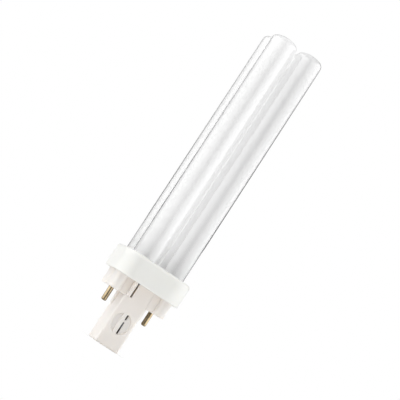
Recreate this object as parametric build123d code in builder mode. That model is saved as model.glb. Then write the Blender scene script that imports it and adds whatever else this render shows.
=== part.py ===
"""Plug-in compact fluorescent bulb: four bridged glass limbs on a two-pin cap.

Millimetres. The origin lies on the lamp axis in the seating plane, where the feet of the
bosses meet the lamp holder. +Z runs up to the crowns of the limbs, +X to the right pin,
and -Y to the front, where the limbs with the lead wires are.
"""

import os
from math import atan2, degrees, sqrt

from build123d import *

os.makedirs("parts", exist_ok=True)

# Glass limbs
tube_diameter = 12.2
tube_wall = 0.9
tube_gap = 1.36
tube_length = 117.9
crown_height = 3.15
crown_knuckle = 2.4
foot_rounding = 2.0
bridge_diameter = 7.4
bridge_blend = 0.55
upper_bridge_drop = 10.5
lower_bridge_rise = 8.0
tip_diameter = 2.8
tip_length = 1.8

# Collar
collar_rise = 7.2
collar_wall = 1.5
collar_roof = 1.8
collar_ledge = 0.9
collar_corner = 8.4
collar_edge = 1.5
collar_lip = 0.4
tube_insertion = 5.8
wiring_room = 2.6
limb_margin = 3.62
boss_margin = 2.55

# Base moulding
plate_recess = 0.6
plate_thickness = 1.8
boss_wall = 0.7
boss_floor = 2.0
boss_behind_pin = 3.25
boss_before_pin = 7.0
boss_foot_edge = 0.5
post_width = 11.5
post_depth = 16.0
post_length = 22.6
post_wall = 1.5
post_floor = 1.6
post_corner = 0.9
post_foot_edge = 0.6
key_width = 1.5
key_depth = 2.4
key_inset = 0.5
key_rise = 0.6
key_edge = 0.3
key_slot_width = 1.3
latch_width = 8.4
latch_height = 9.8
latch_drop = 10.9
latch_depth = 1.0
latch_slope = 22
latch_rib_width = 1.5
latch_rib_offset = 0.52
latch_slot_width = 1.0
latch_slot_height = 9.0
latch_bar_drop = 9.2
latch_bar_height = 1.15
guide_width = 3.0
guide_depth = 0.7
guide_length = 6.5
guide_offset = 4.0

# Contact pins
pin_spacing = 24.0
pin_offset = 3.95
pin_diameter = 2.4
pin_length = 6.6
pin_seat_step = 0.3
pin_shoulder = 0.6
pin_head = 0.8
pin_tip = 0.7

# Parts inside the cap
lead_diameter = 0.6
lead_spread = 4.4
lead_bend = 0.7
foot_below_cement = 1.6
starter_diameter = 6.4
starter_length = 11.0
starter_press_height = 3.0
starter_press_thickness = 2.2
starter_lead_spread = 2.6
starter_lead_length = 3.0
starter_tip_diameter = 1.8
starter_tip_length = 1.2
capacitor_width = 7.0
capacitor_thickness = 3.0
capacitor_height = 8.0
capacitor_edge = 0.9
capacitor_lead_spread = 4.0
starter_to_capacitor = 1.0

# Clearances
tube_clearance = 0.25
cement_clearance = 0.02
plate_clearance = 0.12
pin_clearance = 0.02
head_clearance = 0.1
seat_clearance = 0.1
weld_clearance = 0.02

# Sizes that follow from those above
tube_pitch = tube_diameter + tube_gap
half_pitch = tube_pitch / 2
tube_radius = tube_diameter / 2
bore_radius = tube_radius - tube_wall
knuckle_reach = tube_radius - crown_knuckle
crown_radius = (knuckle_reach**2 + crown_height**2 - crown_knuckle**2) / (2 * (crown_height - crown_knuckle))
crown_angle = degrees(atan2(crown_radius - crown_height, knuckle_reach))

pin_x = sqrt((pin_spacing / 2) ** 2 - pin_offset**2)
pin_seat_diameter = pin_diameter + 2 * pin_seat_step
pin_head_diameter = pin_diameter + 2 * pin_shoulder
boss_width = pin_head_diameter + 2 * head_clearance + 2 * boss_wall
boss_length = boss_behind_pin + boss_before_pin
boss_y = pin_offset + (boss_before_pin - boss_behind_pin) / 2

collar_width = max(
    tube_pitch + tube_diameter + 2 * limb_margin,
    2 * (pin_x + boss_width / 2 + boss_margin),
)
plate_bottom = collar_rise + plate_recess
plate_top = plate_bottom + plate_thickness
tube_foot = plate_top + wiring_room
collar_top = tube_foot + tube_insertion
roof_underside = collar_top - collar_roof
tube_top = tube_foot + tube_length
upper_bridge_z = tube_top - upper_bridge_drop
lower_bridge_z = collar_top + lower_bridge_rise

skirt_inside = collar_width - 2 * collar_wall
skirt_corner = collar_corner - collar_wall
cavity_inside = skirt_inside - 2 * collar_ledge
cavity_corner = skirt_corner - collar_ledge
plate_width = skirt_inside - 2 * plate_clearance
plate_corner = skirt_corner - plate_clearance

post_bottom = -post_length
post_seat = post_bottom + post_floor
post_bore_width = post_width - 2 * post_wall
post_bore_depth = post_depth - 2 * post_wall

lead_level = plate_top + wiring_room / 2
starter_y = -(starter_to_capacitor + capacitor_thickness) / 2
capacitor_y = (starter_to_capacitor + starter_diameter) / 2
starter_base = post_seat + seat_clearance + starter_tip_length
starter_press_top = starter_base + starter_length + starter_press_height
weld_level = starter_press_top + starter_lead_length


def pin_places():
    """The two contact pins, opposite each other across the axis."""
    return (("left_contact_pin", -pin_x, -pin_offset), ("right_contact_pin", pin_x, pin_offset))


def broad_faces():
    """The front and back faces of the post, each seen from outside with its top up."""
    front = Plane((0, -post_depth / 2, 0), x_dir=(1, 0, 0), z_dir=(0, -1, 0))
    back = Plane((0, post_depth / 2, 0), x_dir=(-1, 0, 0), z_dir=(0, 1, 0))
    return front, back


# Outside of one limb: a straight tube with a domed crown and a rounded foot
with BuildPart() as limb_outside:
    shoulder = tube_top - crown_height
    with BuildSketch(Plane.XZ):
        with BuildLine():
            Line((0, tube_foot), (tube_radius - foot_rounding, tube_foot))
            CenterArc((tube_radius - foot_rounding, tube_foot + foot_rounding), foot_rounding, -90, 90)
            Line((tube_radius, tube_foot + foot_rounding), (tube_radius, shoulder))
            CenterArc((knuckle_reach, shoulder), crown_knuckle, 0, crown_angle)
            CenterArc((0, tube_top - crown_radius), crown_radius, crown_angle, 90 - crown_angle)
            Line((0, tube_top), (0, tube_foot))
        make_face()
    revolve(axis=Axis.Z)

# Bore of one limb, one wall thickness inside it all round
with BuildPart() as limb_bore:
    bore_foot = tube_foot + tube_wall
    bore_rounding = foot_rounding - tube_wall
    bore_top = tube_top - tube_wall
    with BuildSketch(Plane.XZ):
        with BuildLine():
            Line((0, bore_foot), (bore_radius - bore_rounding, bore_foot))
            CenterArc((bore_radius - bore_rounding, bore_foot + bore_rounding), bore_rounding, -90, 90)
            Line((bore_radius, bore_foot + bore_rounding), (bore_radius, shoulder))
            CenterArc((knuckle_reach, shoulder), crown_knuckle - tube_wall, 0, crown_angle)
            CenterArc((0, tube_top - crown_radius), crown_radius - tube_wall, crown_angle, 90 - crown_angle)
            Line((0, bore_top), (0, bore_foot))
        make_face()
    revolve(axis=Axis.Z)

# Sealed glass vessel: four limbs joined by short blown bridges into one discharge path
with BuildPart() as discharge_tube:
    with GridLocations(tube_pitch, tube_pitch, 2, 2):
        add(limb_outside.part)
    with BuildSketch(Plane.XZ):
        with Locations((-half_pitch, upper_bridge_z), (half_pitch, upper_bridge_z)):
            Circle(bridge_diameter / 2)
    extrude(amount=half_pitch, both=True)
    with BuildSketch(Plane.YZ):
        with Locations((half_pitch, lower_bridge_z)):
            Circle(bridge_diameter / 2)
    extrude(amount=half_pitch, both=True)
    limb_faces = discharge_tube.faces().filter_by(GeomType.CYLINDER)
    bridge_walls = limb_faces.filter_by(lambda face: abs(face.radius - bridge_diameter / 2) < 1e-6)
    fillet(bridge_walls.edges().filter_by(GeomType.LINE, reverse=True), bridge_blend)
    with BuildSketch(Plane.XY.offset(tube_foot)):
        with Locations((-half_pitch, half_pitch), (half_pitch, half_pitch)):
            Circle(tip_diameter / 2)
    extrude(amount=-tip_length)
    fillet(discharge_tube.faces().sort_by(Axis.Z)[:2].edges(), tip_diameter / 4)
    with GridLocations(tube_pitch, tube_pitch, 2, 2):
        add(limb_bore.part, mode=Mode.SUBTRACT)
    with BuildSketch(Plane.XZ):
        with Locations((-half_pitch, upper_bridge_z), (half_pitch, upper_bridge_z)):
            Circle(bridge_diameter / 2 - tube_wall)
    extrude(amount=half_pitch, both=True, mode=Mode.SUBTRACT)
    with BuildSketch(Plane.YZ):
        with Locations((half_pitch, lower_bridge_z)):
            Circle(bridge_diameter / 2 - tube_wall)
    extrude(amount=half_pitch, both=True, mode=Mode.SUBTRACT)
discharge_tube.part.label = "discharge_tube"
export_step(discharge_tube.part, "parts/discharge_tube.step")

# Collar: a moulded shell with four holes for the limbs and a ledge for the base plate
with BuildPart() as collar:
    with BuildSketch(Plane.XY.offset(collar_rise)):
        RectangleRounded(collar_width, collar_width, collar_corner)
    extrude(amount=collar_top - collar_rise)
    fillet(collar.faces().sort_by(Axis.Z)[-1].edges(), collar_edge)
    fillet(collar.faces().sort_by(Axis.Z)[0].edges(), collar_lip)
    with BuildSketch(Plane.XY.offset(collar_rise)):
        RectangleRounded(skirt_inside, skirt_inside, skirt_corner)
    extrude(amount=plate_top - collar_rise, mode=Mode.SUBTRACT)
    with BuildSketch(Plane.XY.offset(plate_top)):
        RectangleRounded(cavity_inside, cavity_inside, cavity_corner)
    extrude(amount=roof_underside - plate_top, mode=Mode.SUBTRACT)
    with BuildSketch(Plane.XY.offset(collar_top)):
        with GridLocations(tube_pitch, tube_pitch, 2, 2):
            Circle(tube_radius + tube_clearance)
    extrude(amount=-collar_roof, mode=Mode.SUBTRACT)
collar.part.label = "collar"
export_step(collar.part, "parts/collar.step")

# Cement poured under the roof of the collar, around the limbs
with BuildPart() as tube_cement:
    cement_width = cavity_inside - 2 * cement_clearance
    with BuildSketch(Plane.XY.offset(roof_underside)):
        RectangleRounded(cement_width, cement_width, cavity_corner - cement_clearance)
        with GridLocations(tube_pitch, tube_pitch, 2, 2):
            Circle(tube_radius + cement_clearance, mode=Mode.SUBTRACT)
    extrude(amount=-(tube_insertion - collar_roof - foot_below_cement))
tube_cement.part.label = "tube_cement"
export_step(tube_cement.part, "parts/tube_cement.step")

# Base moulding: plate, four bosses, hollow plug post with keys, guides and latch recesses
with BuildPart() as base:
    with BuildSketch(Plane.XY.offset(plate_bottom)):
        RectangleRounded(plate_width, plate_width, plate_corner)
    extrude(amount=plate_thickness)
    with BuildSketch(Plane.XY):
        with GridLocations(2 * pin_x, 2 * boss_y, 2, 2):
            SlotOverall(boss_length, boss_width, rotation=90)
    extrude(amount=plate_bottom)
    fillet(base.faces().sort_by(Axis.Z)[:4].edges(), boss_foot_edge)
    with BuildSketch(Plane.XY.offset(post_bottom)):
        RectangleRounded(post_width, post_depth, post_corner)
    extrude(amount=plate_bottom - post_bottom)
    fillet(base.faces().sort_by(Axis.Z)[0].edges(), post_foot_edge)

    # Key ribs on the broad faces, set towards one edge
    key_x = post_width / 2 - key_inset - key_width / 2
    key_y = (post_depth + key_depth) / 2
    with BuildSketch(Plane.XY.offset(key_rise)) as key_plan:
        with Locations((-key_x, -key_y), (key_x, key_y)):
            Rectangle(key_width, key_depth)
        fillet(key_plan.vertices().filter_by(lambda corner: abs(corner.Y) > key_y), key_edge)
    extrude(amount=plate_bottom - key_rise)

    # Guide ribs on the narrow faces, with a lead-in slope at the lower end
    guide_x = post_width / 2
    for side in (-1, 1):
        with BuildSketch(Plane.XZ.offset(side * guide_offset)):
            with BuildLine():
                Polyline(
                    (side * guide_x, 0),
                    (side * (guide_x + guide_depth), 0),
                    (side * (guide_x + guide_depth), 2 * guide_depth - guide_length),
                    (side * guide_x, -guide_length),
                    close=True,
                )
            make_face()
        extrude(amount=guide_width / 2, both=True)

    # Oval latch recesses on the broad faces, each split by an upright rib
    for broad_face in broad_faces():
        with BuildSketch(broad_face):
            with Locations((0, -latch_drop)):
                SlotOverall(latch_height, latch_width, rotation=90)
            with Locations((-latch_rib_offset, -latch_drop)):
                Rectangle(latch_rib_width, latch_height, mode=Mode.SUBTRACT)
        extrude(amount=-latch_depth, taper=latch_slope, mode=Mode.SUBTRACT)

    # Hollow post, open to the inside of the collar
    with BuildSketch(Plane.XY.offset(post_seat)):
        Rectangle(post_bore_width, post_bore_depth)
    extrude(amount=plate_top - post_seat, mode=Mode.SUBTRACT)

    # Narrow slots through the broad faces, beside the key and beside the latch rib
    key_slot_x = key_width / 2 - key_x + key_slot_width / 2
    key_slot_height = plate_bottom - key_rise
    latch_slot_x = (latch_rib_width + latch_slot_width) / 2 - latch_rib_offset
    for broad_face in broad_faces():
        with BuildSketch(broad_face):
            with Locations((key_slot_x, key_rise + key_slot_height / 2)):
                Rectangle(key_slot_width, key_slot_height)
            with Locations((latch_slot_x, -latch_drop)):
                Rectangle(latch_slot_width, latch_slot_height)
            with Locations((latch_slot_x, -latch_bar_drop)):
                Rectangle(latch_slot_width, latch_bar_height, mode=Mode.SUBTRACT)
        extrude(amount=-post_wall, mode=Mode.SUBTRACT)

    # Cored bosses, with a hole for a pin in two of them
    with BuildSketch(Plane.XY.offset(boss_floor)):
        with GridLocations(2 * pin_x, 2 * boss_y, 2, 2):
            SlotOverall(boss_length - 2 * boss_wall, boss_width - 2 * boss_wall, rotation=90)
    extrude(amount=plate_top - boss_floor, mode=Mode.SUBTRACT)
    with BuildSketch(Plane.XY):
        with Locations(*[(x, y) for name, x, y in pin_places()]):
            Circle(pin_seat_diameter / 2 + pin_clearance)
    extrude(amount=boss_floor, mode=Mode.SUBTRACT)
base.part.label = "base"
export_step(base.part, "parts/base.step")

# Contact pins: turned brass with a rounded tip, a seat in the boss floor and a head above it
for pin_name, x, y in pin_places():
    with BuildPart() as contact_pin:
        with BuildSketch(Plane.XY):
            with Locations((x, y)):
                Circle(pin_diameter / 2)
        extrude(amount=-pin_length)
        fillet(contact_pin.faces().sort_by(Axis.Z)[0].edges(), pin_tip)
        with BuildSketch(Plane.XY):
            with Locations((x, y)):
                Circle(pin_seat_diameter / 2)
        extrude(amount=boss_floor)
        with BuildSketch(Plane.XY.offset(boss_floor)):
            with Locations((x, y)):
                Circle(pin_head_diameter / 2)
        extrude(amount=pin_head)
    contact_pin.part.label = pin_name
    export_step(contact_pin.part, f"parts/{pin_name}.step")

# Glow starter: a glass bottle standing tip down in the post, with a press and two leads
with BuildPart() as glow_starter:
    starter_radius = starter_diameter / 2
    starter_shoulder = starter_base + starter_length
    with BuildSketch(Plane.XZ.offset(-starter_y)):
        with BuildLine():
            Polyline(
                (0, starter_base - starter_tip_length),
                (starter_tip_diameter / 2, starter_base),
                (starter_tip_diameter / 2, starter_base + starter_radius / 3),
                (starter_radius, starter_base + starter_radius),
                (starter_radius, starter_shoulder),
                (0, starter_shoulder),
                close=True,
            )
        make_face()
    revolve(axis=Axis((0, starter_y, 0), (0, 0, 1)))
    with BuildSketch(Plane.XY.offset(starter_shoulder)):
        with Locations((0, starter_y)):
            SlotOverall(starter_diameter - 2 * lead_diameter, starter_press_thickness)
    extrude(amount=starter_press_height)
    with BuildSketch(Plane.XY.offset(starter_press_top)):
        with Locations((0, starter_y)):
            with GridLocations(starter_lead_spread, 1, 2, 1):
                Circle(lead_diameter / 2)
    extrude(amount=starter_lead_length)
glow_starter.part.label = "glow_starter"
export_step(glow_starter.part, "parts/glow_starter.step")

# Suppressor capacitor: a dipped block beside the starter, its legs bent over to the leads
with BuildPart() as suppressor_capacitor:
    capacitor_base = post_seat + seat_clearance
    with BuildSketch(Plane.XY.offset(capacitor_base)):
        with Locations((0, capacitor_y)):
            Rectangle(capacitor_width, capacitor_thickness)
    extrude(amount=capacitor_height)
    fillet(suppressor_capacitor.edges(), capacitor_edge)
    leg_level = weld_level - starter_lead_length / 2
    leg_end = starter_y + lead_diameter + weld_clearance
    for side in (-1, 1):
        leg_x = side * capacitor_lead_spread / 2
        weld_x = side * starter_lead_spread / 2
        with BuildLine() as leg_route:
            FilletPolyline(
                (leg_x, capacitor_y, capacitor_base + capacitor_height / 2),
                (leg_x, capacitor_y, leg_level),
                (weld_x, leg_end, leg_level),
                radius=lead_bend,
            )
        with BuildSketch(Plane(leg_route.line @ 0, z_dir=leg_route.line % 0)):
            Circle(lead_diameter / 2)
        sweep(path=leg_route.line)
suppressor_capacitor.part.label = "suppressor_capacitor"
export_step(suppressor_capacitor.part, "parts/suppressor_capacitor.step")


def lead_routes():
    """Each lead: its name, where it leaves the glass, and where it ends."""
    pin_top = boss_floor + pin_head
    half_spread = lead_spread / 2
    half_weld = starter_lead_spread / 2
    outer_x = half_pitch + half_spread
    inner_x = half_pitch - half_spread
    return (
        ("left_pin_lead", (-outer_x, -half_pitch), (-pin_x, -pin_offset, pin_top)),
        ("right_pin_lead", (outer_x, -half_pitch), (pin_x, pin_offset, pin_top)),
        ("left_starter_lead", (-inner_x, -half_pitch), (-half_weld, starter_y, weld_level)),
        ("right_starter_lead", (inner_x, -half_pitch), (half_weld, starter_y, weld_level)),
    )


# Lead wires, from the feet of the two front limbs to the pins and to the starter
for lead_name, (start_x, start_y), (end_x, end_y, end_z) in lead_routes():
    with BuildPart() as lead:
        with BuildLine() as route:
            FilletPolyline(
                (start_x, start_y, tube_foot),
                (start_x, start_y, lead_level),
                (end_x, end_y, lead_level),
                (end_x, end_y, end_z),
                radius=lead_bend,
            )
        with BuildSketch(Plane(route.line @ 0, z_dir=route.line % 0)):
            Circle(lead_diameter / 2)
        sweep(path=route.line)
    lead.part.label = lead_name
    export_step(lead.part, f"parts/{lead_name}.step")
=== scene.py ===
from math import atan2, cos, pi, radians, sin

import bmesh
import bpy
from bpy.props import FloatProperty, FloatVectorProperty, PointerProperty
from bpy.types import Operator, Panel, PropertyGroup
from mathutils import Matrix, Vector


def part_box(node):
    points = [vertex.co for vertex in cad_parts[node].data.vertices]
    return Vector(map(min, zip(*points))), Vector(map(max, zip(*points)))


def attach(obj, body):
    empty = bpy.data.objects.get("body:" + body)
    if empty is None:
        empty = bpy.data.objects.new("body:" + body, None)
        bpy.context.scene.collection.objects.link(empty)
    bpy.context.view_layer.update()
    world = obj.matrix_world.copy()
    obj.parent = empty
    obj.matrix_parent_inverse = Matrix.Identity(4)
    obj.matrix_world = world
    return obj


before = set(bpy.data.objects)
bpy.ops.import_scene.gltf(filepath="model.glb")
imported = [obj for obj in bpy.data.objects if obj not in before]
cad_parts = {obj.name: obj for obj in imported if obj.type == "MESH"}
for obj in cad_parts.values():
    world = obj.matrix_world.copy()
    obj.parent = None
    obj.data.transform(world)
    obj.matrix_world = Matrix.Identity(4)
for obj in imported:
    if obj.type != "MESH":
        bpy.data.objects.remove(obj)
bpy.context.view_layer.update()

bl_info = {
    "name": "Plug-in Fluorescent Bulb",
    "version": (1, 0, 0),
    "blender": (4, 5, 0),
    "location": "3D View > Sidebar > Bulb",
    "description": "Dresses a plug-in fluorescent bulb with coated glass, moulded plastic and brass",
    "category": "Object",
}

MM = 0.001
PHOTO_PIXELS = 400
SENSOR_WIDTH = 36.0
UPWARDS = (0.0, 0.0, 1.0)
WHITE = (1.0, 1.0, 1.0, 1.0)

# How finely the round shapes are divided
LIMB_STEPS = 96
FOOT_STEPS = 6
KNUCKLE_STEPS = 8
CROWN_STEPS = 10
BRIDGE_STEPS = 64
EDGE_STEPS = 4
STAGE_STEPS = 96

# Layout of the stage, in metres and shades of white
FLOOR_RADIUS = 4.0
FLOOR_PLAIN_RADIUS = 0.008
FLOOR_WHITE_RADIUS = 0.0125
FLOOR_PLAIN_SHADE = 0.45
FLAG_DISTANCE = 0.5
FLAG_RISE = 0.105
FLAG_SIDE = 0.315
FLAG_SIZE = (0.57, 0.17)
LEFT_FLAG_SHADES = (0.3, 0.6)
RIGHT_FLAG_SHADES = (0.0, 0.2)
TOP_FLAG_RISE = 0.44
TOP_FLAG_SIZE = (1.2, 0.5)
TOP_FLAG_SHADES = (0.6, 0.6)
SCREEN_RADIUS = 0.9
SCREEN_HEIGHT = 3.0
SCREEN_SPREAD = radians(145)
SOFTBOX_DISTANCE = 0.6
SOFTBOX_SIZE = (0.12, 0.9)

glass_low, glass_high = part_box("discharge_tube")
collar_low, collar_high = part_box("collar")
floor_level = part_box("base")[0].z


class CoatSettings(PropertyGroup):
    """Sizes and colours of the white coat inside the glass."""

    tube_diameter: FloatProperty(
        name="Tube diameter", description="Outside diameter of a limb", default=12.2 * MM, unit="LENGTH"
    )
    tube_wall: FloatProperty(
        name="Tube wall", description="Thickness of the glass", default=0.9 * MM, unit="LENGTH"
    )
    crown_height: FloatProperty(
        name="Crown height", description="Height of the domed crown", default=3.15 * MM, unit="LENGTH"
    )
    crown_knuckle: FloatProperty(
        name="Crown knuckle", description="Radius at the edge of the crown", default=2.4 * MM, unit="LENGTH"
    )
    foot_rounding: FloatProperty(
        name="Foot rounding", description="Radius at the edge of the foot", default=2.0 * MM, unit="LENGTH"
    )
    tip_length: FloatProperty(
        name="Tip length", description="Length of the exhaust tips", default=1.8 * MM, unit="LENGTH"
    )
    bridge_diameter: FloatProperty(
        name="Bridge diameter", description="Outside diameter of a bridge", default=7.4 * MM, unit="LENGTH"
    )
    upper_bridge_drop: FloatProperty(
        name="Upper bridge drop", description="From the crowns to the upper bridges",
        default=10.5 * MM, unit="LENGTH",
    )
    lower_bridge_rise: FloatProperty(
        name="Lower bridge rise", description="From the collar to the lower bridge",
        default=8.0 * MM, unit="LENGTH",
    )
    coat_depth: FloatProperty(
        name="Coat depth", description="How far the powder coat is bonded into the glass",
        default=0.06 * MM, unit="LENGTH",
    )
    opaque_depth: FloatProperty(
        name="Opaque depth", description="From the collar's top down to where the coat is opaque",
        default=1.0 * MM, unit="LENGTH",
    )
    # Painted shade: across the bundle, the coat is painted greyer towards the limb at +x, -y, as a stand-in
    # for the shade its neighbour casts on it.
    painted_shade_start: FloatProperty(
        name="Last limb start", description="Place across the bundle where the greyer coat starts",
        default=9.0 * MM, unit="LENGTH",
    )
    painted_shade_end: FloatProperty(
        name="Last limb end", description="Place across the bundle where the coat is greyest",
        default=14.0 * MM, unit="LENGTH",
    )
    coat_colour: FloatVectorProperty(
        name="Coat colour", description="Colour of the coat", default=(0.995, 0.995, 0.995), subtype="COLOR"
    )
    thin_colour: FloatVectorProperty(
        name="Thin coat colour", description="Colour where the coat is thin",
        default=(0.985, 0.985, 0.985), subtype="COLOR",
    )
    # Painted shade: the grey painted onto the coat of the limb at +x, -y.
    painted_shade_colour: FloatVectorProperty(
        name="Last limb colour", description="Colour where the coat is greyest, on the last limb",
        default=(0.93, 0.93, 0.93), subtype="COLOR",
    )
    translucency: FloatProperty(
        name="Translucency", description="Share of light that passes through the coat",
        default=0.95, subtype="FACTOR",
    )


class WebSettings(PropertyGroup):
    """Sizes of the webs that join the bosses to the post."""

    inner_side: FloatProperty(
        name="Inner side", description="From the axis to the inner end of a web, in the post's wall",
        default=5.2 * MM, unit="LENGTH",
    )
    outer_side: FloatProperty(
        name="Outer side", description="From the axis to the outer end of a web, in the boss",
        default=9.2 * MM, unit="LENGTH",
    )
    face: FloatProperty(
        name="Face", description="From the axis to the broad face of a web", default=7.85 * MM, unit="LENGTH"
    )
    thickness: FloatProperty(
        name="Thickness", description="Thickness of a web", default=2.4 * MM, unit="LENGTH"
    )
    foot: FloatProperty(
        name="Foot", description="Height of a web's lower edge", default=0.1 * MM, unit="LENGTH"
    )
    overlap: FloatProperty(
        name="Overlap", description="How far a web reaches up into the collar",
        default=0.7 * MM, unit="LENGTH",
    )
    edge: FloatProperty(
        name="Edge", description="Rounding of a web's lower edge", default=0.4 * MM, unit="LENGTH"
    )


class FinishSettings(PropertyGroup):
    """Colours and roughness of the glass, the mouldings and the metal."""

    glass_colour: FloatVectorProperty(
        name="Glass colour", description="Colour of the limbs' glass",
        default=(1.0, 1.0, 1.0), subtype="COLOR",
    )
    # Painted shade: the dark colour painted onto the outward-facing grazing rims of the limbs' glass.
    glass_painted_rim_shade: FloatVectorProperty(
        name="Glass rim", description="Colour of the glass at the limbs' outer rims",
        default=(0.08, 0.08, 0.08), subtype="COLOR",
    )
    starter_colour: FloatVectorProperty(
        name="Starter colour", description="Colour of the starter's glass",
        default=(0.2, 0.21, 0.22), subtype="COLOR",
    )
    # Painted shade: the dark colour painted onto the outward-facing grazing rims of the starter's glass.
    starter_painted_rim_shade: FloatVectorProperty(
        name="Starter rim", description="Colour of the glass at the starter's rims",
        default=(0.1, 0.1, 0.11), subtype="COLOR",
    )
    collar_colour: FloatVectorProperty(
        name="Collar colour", description="White of the collar",
        default=(0.878, 0.88, 0.846), subtype="COLOR",
    )
    base_colour: FloatVectorProperty(
        name="Base colour", description="Warm white of the base",
        default=(0.908, 0.866, 0.822), subtype="COLOR",
    )
    collar_roughness: FloatProperty(
        name="Collar roughness", description="Least roughness of the collar", default=0.28, subtype="FACTOR"
    )
    base_roughness: FloatProperty(
        name="Base roughness", description="Least roughness of the base", default=0.36, subtype="FACTOR"
    )
    brass_colour: FloatVectorProperty(
        name="Brass colour", description="Colour of the clean brass",
        default=(0.26, 0.21, 0.135), subtype="COLOR",
    )
    tarnish_colour: FloatVectorProperty(
        name="Tarnish colour", description="Colour of the dull brass",
        default=(0.145, 0.11, 0.065), subtype="COLOR",
    )


class StageSettings(PropertyGroup):
    """Camera, light and floor."""

    azimuth: FloatProperty(
        name="Azimuth", description="Camera's turn around the bulb", default=radians(-13.53), subtype="ANGLE"
    )
    elevation: FloatProperty(
        name="Elevation", description="Camera's height angle", default=radians(-5.15), subtype="ANGLE"
    )
    roll: FloatProperty(
        name="Roll", description="Camera's roll, which slants the bulb",
        default=radians(33.06), subtype="ANGLE",
    )
    distance: FloatProperty(
        name="Distance", description="From the camera to the aim point", default=639.2 * MM, unit="LENGTH"
    )
    aim_height: FloatProperty(
        name="Aim height", description="Height of the aim point", default=49.5 * MM, unit="LENGTH"
    )
    focal_pixels: FloatProperty(
        name="Focal length", description="Focal length in pixels of the photograph", default=1486.1
    )
    shift_right: FloatProperty(
        name="Shift right", description="Aim point's place left of the middle, in pixels", default=5.5
    )
    shift_up: FloatProperty(
        name="Shift up", description="Aim point's place below the middle, in pixels", default=3.2
    )
    floor_colour: FloatVectorProperty(
        name="Floor colour", description="Colour of the floor", default=(0.9, 0.9, 0.9), subtype="COLOR"
    )
    ambient: FloatProperty(
        name="Ambient", description="Strength of the light from the front", default=0.64
    )
    backlight: FloatProperty(
        name="Backlight", description="Strength of the light from the sides and the backdrop", default=1.0
    )
    slant: FloatProperty(
        name="Slant", description="Share by which the light grows towards the top of the picture",
        default=0.28,
    )
    gloss: FloatProperty(
        name="Screen gloss", description="Strength of the front screen at its sides", default=4.5
    )
    screen_turn: FloatProperty(
        name="Screen turn", description="Turn of the dark front of the light and the screen",
        default=radians(8.0), subtype="ANGLE",
    )
    lamp_power: FloatProperty(
        name="Lamp power", description="Power of the left softbox", default=0.1, unit="POWER"
    )
    fill_power: FloatProperty(
        name="Fill power", description="Power of the right softbox", default=0.15, unit="POWER"
    )


class Signal:
    """A value in a node tree that takes part in Python arithmetic."""

    def __init__(self, tree, socket):
        self.tree = tree
        self.socket = socket

    def math(self, operation, first, second):
        node = self.tree.nodes.new("ShaderNodeMath")
        node.operation = operation
        for socket, value in zip(node.inputs, (first, second)):
            if isinstance(value, Signal):
                self.tree.links.new(value.socket, socket)
            else:
                socket.default_value = value
        return Signal(self.tree, node.outputs[0])

    def __add__(self, other):
        return self.math("ADD", self, other)

    def __radd__(self, other):
        return self.math("ADD", other, self)

    def __sub__(self, other):
        return self.math("SUBTRACT", self, other)

    def __rsub__(self, other):
        return self.math("SUBTRACT", other, self)

    def __mul__(self, other):
        return self.math("MULTIPLY", self, other)

    def __rmul__(self, other):
        return self.math("MULTIPLY", other, self)

    def __gt__(self, other):
        return self.math("GREATER_THAN", self, other)

    def __lt__(self, other):
        return self.math("LESS_THAN", self, other)

    def __abs__(self):
        return self.math("ABSOLUTE", self, 0.0)


class Nodes:
    """A node tree that is filled one node at a time."""

    def __init__(self, tree):
        self.tree = tree
        tree.nodes.clear()

    def add(self, kind, settings=None, output=0, **inputs):
        """Adds one node, applies its settings, fills its sockets and returns one of its outputs."""
        node = self.tree.nodes.new(kind)
        for name, value in (settings or {}).items():
            setattr(node, name, value)
        for name, value in inputs.items():
            socket = self.find(node, name)
            if isinstance(value, Signal):
                self.tree.links.new(value.socket, socket)
            else:
                socket.default_value = value
        return Signal(self.tree, node.outputs[output]) if len(node.outputs) else None

    @staticmethod
    def find(node, name):
        """The socket called name, with _ for spaces, or the one at that place for in0, in1 and so on."""
        if name[:2] == "in" and name[2:].isdigit():
            return node.inputs[int(name[2:])]
        wanted = name.replace("_", " ").lower()
        matches = [socket for socket in node.inputs if socket.name.lower() == wanted and socket.enabled]
        if not matches:
            raise RuntimeError(f"{node.bl_idname} has no socket named {wanted}")
        return matches[0]

    def mix(self, factor, first, second):
        """A colour between first and second."""
        return self.add("ShaderNodeMix", {"data_type": "RGBA"}, 2, in0=factor, in6=first, in7=second)

    def noise(self, place, scale, detail=3.0, roughness=0.5):
        """Soft random values over the surface."""
        return self.add("ShaderNodeTexNoise", vector=place, scale=scale, detail=detail, roughness=roughness)

    def bump(self, height, strength, distance):
        """Normals that follow height."""
        return self.add("ShaderNodeBump", strength=strength, distance=distance, height=height)

    def place(self, scale=(1.0, 1.0, 1.0)):
        """Object coordinates, stretched by scale."""
        coordinates = self.add("ShaderNodeTexCoord", output="Object")
        return self.add("ShaderNodeMapping", vector=coordinates, scale=scale)

    def along(self, vector, direction):
        """How far vector reaches in a direction."""
        return self.add(
            "ShaderNodeVectorMath", {"operation": "DOT_PRODUCT"}, "Value", in0=vector, in1=direction
        )

    def ray(self, name):
        """One output of the light path."""
        return self.add("ShaderNodeLightPath", output=name)

    def blend(self, factor, first, second):
        """A shader between first and second."""
        return self.add("ShaderNodeMixShader", in0=factor, in1=first, in2=second)

    def between(self, value, low, high, start=0.0, end=1.0):
        """Value taken from the span low to high onto start to end, clamped."""
        return self.add(
            "ShaderNodeMapRange", {"interpolation_type": "SMOOTHSTEP"},
            value=value, from_min=low, from_max=high, to_min=start, to_max=end,
        )


def colour(value):
    """A colour as a socket takes it."""
    return (*value, 1.0)


def material(name):
    """A new material and the nodes that make it."""
    made = bpy.data.materials.new(name)
    made.use_nodes = True
    return made, Nodes(made.node_tree)


def surface(nodes, shader):
    """Ends a material in its surface."""
    nodes.add("ShaderNodeOutputMaterial", surface=shader)


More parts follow.
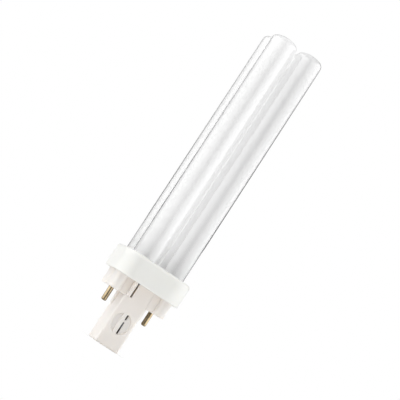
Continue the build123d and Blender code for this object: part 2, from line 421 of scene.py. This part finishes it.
def clear_glass(name, tint, rim):
    """Clear drawn glass that lets light through to its inside, with faint smudges and painted dark shade on
    its outward-facing grazing rims, strongest towards the collar.
    """
    made, nodes = material(name)
    smudges = nodes.between(nodes.noise(nodes.place((1.0, 1.0, 0.3)), scale=140.0, detail=4.0), 0.5, 0.75)
    grazing = nodes.between(nodes.add("ShaderNodeLayerWeight", output="Facing", blend=0.5), 0.55, 0.75)
    normal = nodes.add("ShaderNodeNewGeometry", output="Normal")
    from_axis = nodes.add(
        "ShaderNodeVectorMath", {"operation": "NORMALIZE"}, in0=nodes.place((1.0, 1.0, 0.0))
    )
    outside = nodes.between(nodes.along(normal, from_axis), 0.3, 0.7)
    height = nodes.along(nodes.place(), UPWARDS)
    # Painted shade: the outward-facing grazing rims take the dark rim colour, fully at the collar and weaker
    # towards the crowns.
    painted_rim_by_height = nodes.between(height, collar_high.z, glass_high.z, 1.0, 0.55)
    tone = nodes.mix(grazing * outside * painted_rim_by_height, colour(tint), colour(rim))
    shader = nodes.add(
        "ShaderNodeBsdfPrincipled", base_color=tone, roughness=0.01 + smudges * 0.05, ior=1.55,
        transmission_weight=1.0,
    )
    clear = nodes.add("ShaderNodeBsdfTransparent", color=WHITE)
    lit = nodes.blend(nodes.ray("Is Diffuse Ray"), shader, clear)
    surface(nodes, nodes.blend(nodes.ray("Is Shadow Ray"), lit, clear))
    return made


def powder_coat(settings):
    """White phosphor powder, faintly streaked, with painted shade that greys the coat of the limb at +x, -y,
    and opaque inside the collar.
    """
    made, nodes = material("phosphor_powder")
    place = nodes.place()
    streaks = nodes.noise(nodes.place((1.0, 1.0, 0.06)), scale=900.0, detail=4.0, roughness=0.6)
    clouds = nodes.noise(place, scale=120.0)
    thinness = nodes.between(streaks * 0.6 + clouds * 0.4, 0.45, 0.75) * 0.5
    # Painted shade: the coat greys towards the limb at +x, -y, standing in for the shade its neighbouring
    # limb casts on it.
    across = nodes.along(place, (1.0, -1.0, 0.0))
    painted_shade_mask = nodes.between(across, settings.painted_shade_start, settings.painted_shade_end)
    shades = [colour(shade) for shade in (settings.coat_colour, settings.thin_colour, settings.painted_shade_colour)]
    tone = nodes.mix(painted_shade_mask, nodes.mix(thinness, shades[0], shades[1]), shades[2])
    grain = nodes.noise(place, scale=6000.0, detail=2.0)
    powder = nodes.add(
        "ShaderNodeBsdfPrincipled", base_color=tone, roughness=0.95, specular_ior_level=0.1,
        normal=nodes.bump(grain, strength=0.15, distance=0.03 * MM),
    )
    films = [nodes.add("ShaderNodeBsdfTranslucent", color=shade) for shade in shades]
    glow = nodes.blend(painted_shade_mask, nodes.blend(thinness, films[0], films[1]), films[2])
    height = nodes.along(place, UPWARDS)
    opaque_end = collar_high.z - settings.opaque_depth
    passing = nodes.between(height, opaque_end, collar_high.z, 0.0, settings.translucency)
    # The renders see the coat through the glass. Seen bare, as the export reads it, it is plain powder.
    behind_glass = nodes.blend(passing, powder, glow)
    surface(nodes, nodes.blend(nodes.ray("Is Camera Ray"), behind_glass, powder))
    return made


def moulded_plastic(name, tint, roughness):
    """Moulded white plastic with a fine eroded texture and slight unevenness in its gloss."""
    made, nodes = material(name)
    flow = nodes.noise(nodes.place((1.0, 1.0, 0.4)), scale=90.0)
    darker = colour([part * 0.93 for part in tint])
    tone = nodes.mix(nodes.between(flow, 0.35, 0.7) * 0.25, colour(tint), darker)
    grain = nodes.noise(nodes.place(), scale=5200.0, roughness=0.6)
    uneven = roughness + flow * 0.08 + grain * 0.06
    shader = nodes.add(
        "ShaderNodeBsdfPrincipled", base_color=tone, roughness=uneven, ior=1.5,
        normal=nodes.bump(grain, strength=0.12, distance=0.04 * MM),
        subsurface_weight=0.5, subsurface_radius=(1.0, 0.95, 0.85), subsurface_scale=1.3 * MM,
    )
    surface(nodes, shader)
    return made


def drawn_brass(settings):
    """Brass drawn to size, with fine lines along the pin and dull patches."""
    made, nodes = material("drawn_brass")
    lines = nodes.noise(nodes.place((1.0, 1.0, 0.04)), scale=5000.0, roughness=0.65)
    patches = nodes.between(nodes.noise(nodes.place(), scale=480.0), 0.42, 0.66)
    dull = patches * 0.55 + lines * 0.25
    tone = nodes.mix(dull, colour(settings.brass_colour), colour(settings.tarnish_colour))
    shader = nodes.add(
        "ShaderNodeBsdfPrincipled", base_color=tone, roughness=0.1 + dull * 0.1, metallic=1.0,
        normal=nodes.bump(lines, strength=0.06, distance=0.03 * MM),
    )
    surface(nodes, shader)
    return made


def plated_wire():
    """Plated lead wire, mottled all over."""
    made, nodes = material("plated_wire")
    mottle = nodes.noise(nodes.place(), scale=3000.0)
    tone = nodes.mix(mottle, colour((0.62, 0.60, 0.56)), colour((0.80, 0.78, 0.74)))
    shader = nodes.add(
        "ShaderNodeBsdfPrincipled", base_color=tone, roughness=0.25 + mottle * 0.2, metallic=1.0
    )
    surface(nodes, shader)
    return made


def poured_cement():
    """Rough white cement with small pits."""
    made, nodes = material("poured_cement")
    pits = nodes.noise(nodes.place(), scale=1400.0, detail=5.0, roughness=0.7)
    tone = nodes.mix(nodes.between(pits, 0.4, 0.6), colour((0.62, 0.61, 0.58)), colour((0.84, 0.83, 0.80)))
    shader = nodes.add(
        "ShaderNodeBsdfPrincipled", base_color=tone, roughness=0.9,
        normal=nodes.bump(pits, strength=0.6, distance=0.2 * MM),
    )
    surface(nodes, shader)
    return made


def dipped_resin():
    """Brown resin dip with a soft orange-peel surface."""
    made, nodes = material("dipped_resin")
    peel = nodes.noise(nodes.place(), scale=900.0, detail=2.0)
    tone = nodes.mix(peel, colour((0.36, 0.13, 0.03)), colour((0.52, 0.22, 0.06)))
    shader = nodes.add(
        "ShaderNodeBsdfPrincipled", base_color=tone, roughness=0.25,
        normal=nodes.bump(peel, strength=0.2, distance=0.1 * MM),
    )
    surface(nodes, shader)
    return made


def dress(node_name, finish):
    """Gives a CAD node its finish."""
    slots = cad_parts[node_name].data.materials
    slots.clear()
    slots.append(finish)


def link_piece(name, mesh, finish):
    """A new piece of the bulb, riding on its only body."""
    mesh.materials.append(finish)
    piece = bpy.data.objects.new(name, mesh)
    bpy.context.scene.collection.objects.link(piece)
    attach(piece, "root")
    return piece


def mesh_from(shape, name, smooth=True):
    """A mesh from a closed shape, with doubles merged and faces outwards."""
    bmesh.ops.remove_doubles(shape, verts=shape.verts, dist=0.001 * MM)
    bmesh.ops.recalc_face_normals(shape, faces=shape.faces)
    for face in shape.faces:
        face.smooth = smooth
    mesh = bpy.data.meshes.new(name)
    shape.to_mesh(mesh)
    shape.free()
    return mesh


def arc_on(shape, start, centre, angle, steps):
    """Carries a profile on from the vertex start around centre, and returns its last vertex."""
    turned = bmesh.ops.spin(
        shape, geom=[start], cent=centre, axis=(0, -1, 0), angle=angle, steps=steps, use_merge=False
    )
    return next(item for item in turned["geom_last"] if isinstance(item, bmesh.types.BMVert))


def line_on(shape, start, place):
    """Carries a profile on from the vertex start in a straight line to place."""
    end = shape.verts.new(place)
    shape.edges.new((start, end))
    return end


def add_limb_coat(shape, settings, x, y, foot, top):
    """The coat of one limb: a profile of lines and arcs, spun around the limb's axis."""
    inset = settings.tube_wall - settings.coat_depth
    outside = settings.tube_diameter / 2
    radius = outside - inset
    knuckle = settings.crown_knuckle
    knuckle_reach = outside - knuckle
    rise = settings.crown_height
    crown_radius = (knuckle_reach**2 + rise**2 - knuckle**2) / (2 * (rise - knuckle))
    crown_angle = atan2(crown_radius - rise, knuckle_reach)
    shoulder = top - rise
    foot_corner = settings.foot_rounding - inset
    before = set(shape.verts)
    vertex = shape.verts.new((0, 0, foot + inset))
    vertex = line_on(shape, vertex, (radius - foot_corner, 0, foot + inset))
    vertex = arc_on(shape, vertex, (radius - foot_corner, 0, foot + inset + foot_corner), pi / 2, FOOT_STEPS)
    vertex = line_on(shape, vertex, (radius, 0, shoulder))
    vertex = arc_on(shape, vertex, (knuckle_reach, 0, shoulder), crown_angle, KNUCKLE_STEPS)
    arc_on(shape, vertex, (0, 0, top - crown_radius), pi / 2 - crown_angle, CROWN_STEPS)
    profile = [vertex for vertex in shape.verts if vertex not in before]
    edges = [edge for edge in shape.edges if edge.verts[0] not in before]
    bmesh.ops.spin(
        shape, geom=profile + edges, cent=(0, 0, 0), axis=UPWARDS, angle=2 * pi, steps=LIMB_STEPS,
        use_merge=True,
    )
    limb = [vertex for vertex in shape.verts if vertex not in before]
    bmesh.ops.translate(shape, verts=limb, vec=(x, y, 0))


def add_bridge_coat(shape, settings, place, turn, reach):
    """The coat of one bridge: a short tube between two limbs."""
    radius = settings.bridge_diameter / 2 - settings.tube_wall + settings.coat_depth
    bmesh.ops.create_cone(
        shape, cap_ends=True, segments=BRIDGE_STEPS, radius1=radius, radius2=radius, depth=reach,
        matrix=Matrix.Translation(place) @ turn,
    )


def add_web(shape, settings, side, end, top):
    """One web between a boss and the post, with its lower edges rounded."""
    low = Vector((settings.inner_side, settings.face - settings.thickness, settings.foot))
    high = Vector((settings.outer_side, settings.face, top))
    size = high - low
    middle = (low + high) / 2
    middle.x *= side
    middle.y *= end
    block = bmesh.ops.create_cube(shape, size=1.0)["verts"]
    bmesh.ops.scale(shape, vec=size, verts=block)
    bmesh.ops.translate(shape, vec=middle, verts=block)
    block_edges = {edge for vertex in block for edge in vertex.link_edges}
    foot = [
        edge for edge in block_edges
        if all(vertex.co.z < middle.z for vertex in edge.verts) and edge.verts[0].co.y == edge.verts[1].co.y
    ]
    bmesh.ops.bevel(
        shape, geom=foot, offset=settings.edge, offset_type="OFFSET", segments=EDGE_STEPS, profile=0.5,
        affect="EDGES", material=-1,
    )


class BULB_OT_glass(Operator):
    """Makes the glass clear and puts the white coat inside it"""

    bl_idname = "bulb.glass"
    bl_label = "Coated glass"

    def execute(self, context):
        settings = context.scene.bulb_coat
        half = (glass_high.x - glass_low.x - settings.tube_diameter) / 2
        foot = glass_low.z + settings.tip_length
        top = glass_high.z
        shape = bmesh.new()
        for x in (-half, half):
            for y in (-half, half):
                add_limb_coat(shape, settings, x, y, foot, top)
        across = Matrix.Rotation(pi / 2, 4, "X")
        along = Matrix.Rotation(pi / 2, 4, "Y")
        upper = top - settings.upper_bridge_drop
        lower = collar_high.z + settings.lower_bridge_rise
        for x in (-half, half):
            add_bridge_coat(shape, settings, (x, 0, upper), across, half)
        add_bridge_coat(shape, settings, (0, half, lower), along, half)
        coat = link_piece("phosphor_coat", mesh_from(shape, "phosphor_coat"), powder_coat(settings))
        finish = context.scene.bulb_finish
        dress("discharge_tube", clear_glass("limb_glass", finish.glass_colour, finish.glass_painted_rim_shade))
        return {"FINISHED"}


class BULB_OT_mouldings(Operator):
    """Gives the collar and the base their moulded finish, and adds the webs"""

    bl_idname = "bulb.mouldings"
    bl_label = "Mouldings"

    def execute(self, context):
        finish = context.scene.bulb_finish
        plastic = moulded_plastic("collar_plastic", finish.collar_colour, finish.collar_roughness)
        dress("collar", plastic)
        plastic = moulded_plastic("base_plastic", finish.base_colour, finish.base_roughness)
        dress("base", plastic)
        sizes = context.scene.bulb_web
        shape = bmesh.new()
        for side in (-1, 1):
            for end in (-1, 1):
                add_web(shape, sizes, side, end, collar_low.z + sizes.overlap)
        webs = link_piece("boss_webs", mesh_from(shape, "boss_webs", smooth=False), plastic)
        return {"FINISHED"}


class BULB_OT_pins(Operator):
    """Gives the contact pins their drawn brass"""

    bl_idname = "bulb.pins"
    bl_label = "Contact pins"

    def execute(self, context):
        brass = drawn_brass(context.scene.bulb_finish)
        for name in ("left_contact_pin", "right_contact_pin"):
            dress(name, brass)
        return {"FINISHED"}


class BULB_OT_inner_parts(Operator):
    """Finishes the parts that the cap holds inside"""

    bl_idname = "bulb.inner_parts"
    bl_label = "Parts inside the cap"

    def execute(self, context):
        finish = context.scene.bulb_finish
        wire = plated_wire()
        for name in ("left_pin_lead", "right_pin_lead", "left_starter_lead", "right_starter_lead"):
            dress(name, wire)
        dress("tube_cement", poured_cement())
        dress("glow_starter", clear_glass("starter_glass", finish.starter_colour, finish.starter_painted_rim_shade))
        dress("suppressor_capacitor", dipped_resin())
        return {"FINISHED"}


def level_axes(settings):
    """The level directions from the bulb to the camera and to the camera's right."""
    turn = settings.azimuth
    return Vector((sin(turn), -cos(turn), 0)), Vector((cos(turn), sin(turn), 0))


def camera_axes(settings):
    """The camera's axes, as columns: right and up in its picture, and from the bulb to the camera."""
    front, level = level_axes(settings)
    back = front * cos(settings.elevation) + Vector((0, 0, sin(settings.elevation)))
    upright = back.cross(level)
    right = level * cos(settings.roll) + upright * sin(settings.roll)
    up = upright * cos(settings.roll) - level * sin(settings.roll)
    return Matrix((right, up, back)).transposed()


def add_camera(settings, aim):
    """The photograph's camera."""
    lens = bpy.data.cameras.new("camera")
    lens.sensor_width = SENSOR_WIDTH
    lens.lens = settings.focal_pixels * SENSOR_WIDTH / PHOTO_PIXELS
    lens.shift_x = settings.shift_right / PHOTO_PIXELS
    lens.shift_y = settings.shift_up / PHOTO_PIXELS
    lens.clip_start = 10 * MM
    axes = camera_axes(settings)
    place = axes.to_4x4()
    place.translation = aim + axes.col[2] * settings.distance
    camera = bpy.data.objects.new("camera", lens)
    camera.matrix_world = place
    bpy.context.scene.collection.objects.link(camera)
    bpy.context.scene.camera = camera


def add_softbox(name, aim, direction, power):
    """An area lamp that faces aim from the given direction, and that no gloss shows."""
    lamp = bpy.data.lights.new(name, "AREA")
    lamp.shape = "RECTANGLE"
    lamp.size, lamp.size_y = SOFTBOX_SIZE
    lamp.energy = power
    softbox = bpy.data.objects.new(name, lamp)
    softbox.location = aim + direction * SOFTBOX_DISTANCE
    softbox.rotation_euler = direction.to_track_quat("Z", "Y").to_euler()
    softbox.visible_camera = False
    softbox.visible_glossy = False
    softbox.visible_transmission = False
    bpy.context.scene.collection.objects.link(softbox)


def stage_object(name, shape, finish):
    """A new object of the stage, made from a shape."""
    mesh = bpy.data.meshes.new(name)
    shape.to_mesh(mesh)
    shape.free()
    mesh.materials.append(finish)
    piece = bpy.data.objects.new(name, mesh)
    bpy.context.scene.collection.objects.link(piece)
    return piece


def add_floor(settings):
    """A wide floor under the post: plain near the bulb, and as white as the backdrop further off."""
    made, nodes = material("floor")
    seen = (nodes.ray("Is Camera Ray") + nodes.ray("Is Transmission Ray")) > 0.5
    radius = nodes.add(
        "ShaderNodeVectorMath", {"operation": "LENGTH"}, "Value", in0=nodes.place((1.0, 1.0, 0.0))
    )
    far = nodes.between(radius, FLOOR_PLAIN_RADIUS, FLOOR_WHITE_RADIUS, FLOOR_PLAIN_SHADE, 1.0)
    matt = nodes.add("ShaderNodeBsdfDiffuse", color=colour(settings.floor_colour))
    white = nodes.add("ShaderNodeEmission", color=WHITE, strength=1.0)
    # The camera and the glass see the white, and all other light sees a plain matt floor.
    surface(nodes, nodes.blend(far * seen, matt, white))
    shape = bmesh.new()
    bmesh.ops.create_circle(
        shape, cap_ends=True, segments=STAGE_STEPS, radius=FLOOR_RADIUS,
        matrix=Matrix.Translation((0, 0, floor_level)),
    )
    floor = stage_object("floor", shape, made)
    floor.visible_glossy = False


def shine(nodes, shade):
    """Ends a stage material in a glow of the given shade."""
    surface(nodes, nodes.add("ShaderNodeEmission", color=shade, strength=1.0))


def hang(name, shape, finish):
    """A piece of the stage that only gloss and glass see."""
    piece = stage_object(name, shape, finish)
    piece.visible_camera = False
    piece.visible_diffuse = False
    piece.visible_shadow = False
    return piece


def add_flag(name, middle, facing, size, shades):
    """A flat upright card, shaded from its foot to its top."""
    width, height = size
    made, nodes = material(name)
    rise = nodes.along(nodes.place(), UPWARDS)
    shine(nodes, nodes.between(rise, middle.z - height / 2, middle.z + height / 2, *shades))
    upright = Vector(UPWARDS)
    place = Matrix((upright.cross(facing), upright, facing)).transposed().to_4x4()
    place.translation = middle
    shape = bmesh.new()
    bmesh.ops.create_grid(shape, x_segments=1, y_segments=1, size=0.5)
    bmesh.ops.scale(shape, vec=(width, height, 1), verts=shape.verts)
    bmesh.ops.transform(shape, matrix=place, verts=shape.verts)
    hang(name, shape, made)


def add_screen(aim, facing, gloss):
    """A screen bent around the bulb: dark in front, bright at its sides, and white towards the back."""
    made, nodes = material("screen")
    place = nodes.place()
    across = Vector(UPWARDS).cross(facing)
    dark_half = 0.09 * SCREEN_RADIUS
    bright_half = 0.93 * SCREEN_RADIUS
    glow = nodes.add(
        "ShaderNodeMapRange", value=abs(nodes.along(place, across)),
        from_min=dark_half, from_max=bright_half, to_min=0.0, to_max=gloss,
    )
    # The glow fades to the backdrop's white behind the bulb, far up and far down, and is weak under it.
    front = nodes.between(nodes.along(place, facing), -0.8 * SCREEN_RADIUS, 0.0)
    height = nodes.along(place, UPWARDS)
    above = nodes.between(height, -0.13 * SCREEN_RADIUS, 0.05 * SCREEN_RADIUS, 0.35, 1.0)
    level = nodes.between(abs(height - aim.z), 0.5 * SCREEN_RADIUS, 1.3 * SCREEN_RADIUS, 1.0, 0.0)
    shine(nodes, 1.0 + front * above * level * (glow - 1.0))
    shape = bmesh.new()
    start = aim + Matrix.Rotation(-SCREEN_SPREAD, 3, "Z") @ facing * SCREEN_RADIUS
    half = Vector((0, 0, SCREEN_HEIGHT / 2))
    ends = [shape.verts.new(start - half), shape.verts.new(start + half)]
    side = shape.edges.new(ends)
    bmesh.ops.spin(
        shape, geom=[*ends, side], cent=aim, axis=UPWARDS, angle=2 * SCREEN_SPREAD, steps=STAGE_STEPS,
        use_merge=False,
    )
    hang("screen", shape, made).visible_transmission = False


def add_world(settings, dark_side, up):
    """A white studio for the camera and the gloss, and a plain light that is weaker from the dark side."""
    world = bpy.data.worlds.new("studio")
    world.use_nodes = True
    nodes = Nodes(world.node_tree)
    seen = sum(nodes.ray(name) for name in ("Is Camera Ray", "Is Glossy Ray", "Is Transmission Ray"))
    direct = (nodes.ray("Diffuse Depth") + nodes.ray("Is Diffuse Ray")) < 0.5
    white = nodes.add("ShaderNodeBackground", color=WHITE, strength=1.0)
    direction = nodes.add("ShaderNodeTexCoord", output="Generated")
    round_about = nodes.between(
        nodes.along(direction, dark_side), 0.0, 0.9, settings.backlight, settings.ambient
    )
    strength = round_about * (1.0 + settings.slant * nodes.along(direction, up))
    dim = nodes.add("ShaderNodeBackground", color=WHITE, strength=strength)
    mixed = nodes.blend((seen > 0.5) * direct, dim, white)
    nodes.add("ShaderNodeOutputWorld", surface=mixed)
    bpy.context.scene.world = world


class BULB_OT_stage(Operator):
    """Sets up the floor, the light and the camera"""

    bl_idname = "bulb.stage"
    bl_label = "Stage"

    def execute(self, context):
        settings = context.scene.bulb_stage
        front, level = level_axes(settings)
        aim = Vector((0, 0, settings.aim_height))
        dark_side = front * cos(settings.screen_turn) + level * sin(settings.screen_turn)
        add_world(settings, dark_side, camera_axes(settings).col[1])
        add_floor(settings)
        behind = aim - front * FLAG_DISTANCE
        flags_middle = behind + Vector((0, 0, FLAG_RISE))
        add_flag("left_flag", flags_middle - level * FLAG_SIDE, front, FLAG_SIZE, LEFT_FLAG_SHADES)
        add_flag("right_flag", flags_middle + level * FLAG_SIDE, front, FLAG_SIZE, RIGHT_FLAG_SHADES)
        top_middle = behind + Vector((0, 0, TOP_FLAG_RISE))
        add_flag("top_flag", top_middle, front, TOP_FLAG_SIZE, TOP_FLAG_SHADES)
        add_screen(aim, dark_side, settings.gloss)
        add_softbox("left_softbox", aim, -level, settings.lamp_power)
        add_softbox("right_softbox", aim, level, settings.fill_power)
        add_camera(settings, aim)
        context.scene.cycles.diffuse_bounces = 32
        context.scene.cycles.transmission_bounces = 32
        context.scene.cycles.max_bounces = 64
        context.scene.view_settings.view_transform = "Standard"
        return {"FINISHED"}


class BULB_PT_panel(Panel):
    """Lists the bulb's steps and settings"""

    bl_label = "Fluorescent bulb"
    bl_idname = "BULB_PT_panel"
    bl_space_type = "VIEW_3D"
    bl_region_type = "UI"
    bl_category = "Bulb"

    def draw(self, context):
        for step in STEPS:
            self.layout.operator(step.bl_idname)
        for name in ("bulb_coat", "bulb_web", "bulb_finish", "bulb_stage"):
            settings = getattr(context.scene, name)
            box = self.layout.box()
            for key in settings.bl_rna.properties.keys():
                if key not in ("rna_type", "name"):
                    box.prop(settings, key)


STEPS = (BULB_OT_glass, BULB_OT_mouldings, BULB_OT_pins, BULB_OT_inner_parts, BULB_OT_stage)
GROUPS = (CoatSettings, WebSettings, FinishSettings, StageSettings)


def register():
    for group in GROUPS + STEPS + (BULB_PT_panel,):
        bpy.utils.register_class(group)
    bpy.types.Scene.bulb_coat = PointerProperty(type=CoatSettings)
    bpy.types.Scene.bulb_web = PointerProperty(type=WebSettings)
    bpy.types.Scene.bulb_finish = PointerProperty(type=FinishSettings)
    bpy.types.Scene.bulb_stage = PointerProperty(type=StageSettings)


def unregister():
    del bpy.types.Scene.bulb_coat
    del bpy.types.Scene.bulb_web
    del bpy.types.Scene.bulb_finish
    del bpy.types.Scene.bulb_stage
    for group in reversed(GROUPS + STEPS + (BULB_PT_panel,)):
        bpy.utils.unregister_class(group)


def main():
    register()
    bpy.ops.bulb.glass()
    bpy.ops.bulb.mouldings()
    bpy.ops.bulb.pins()
    bpy.ops.bulb.inner_parts()
    bpy.ops.bulb.stage()


if __name__ == "__main__":
    main()
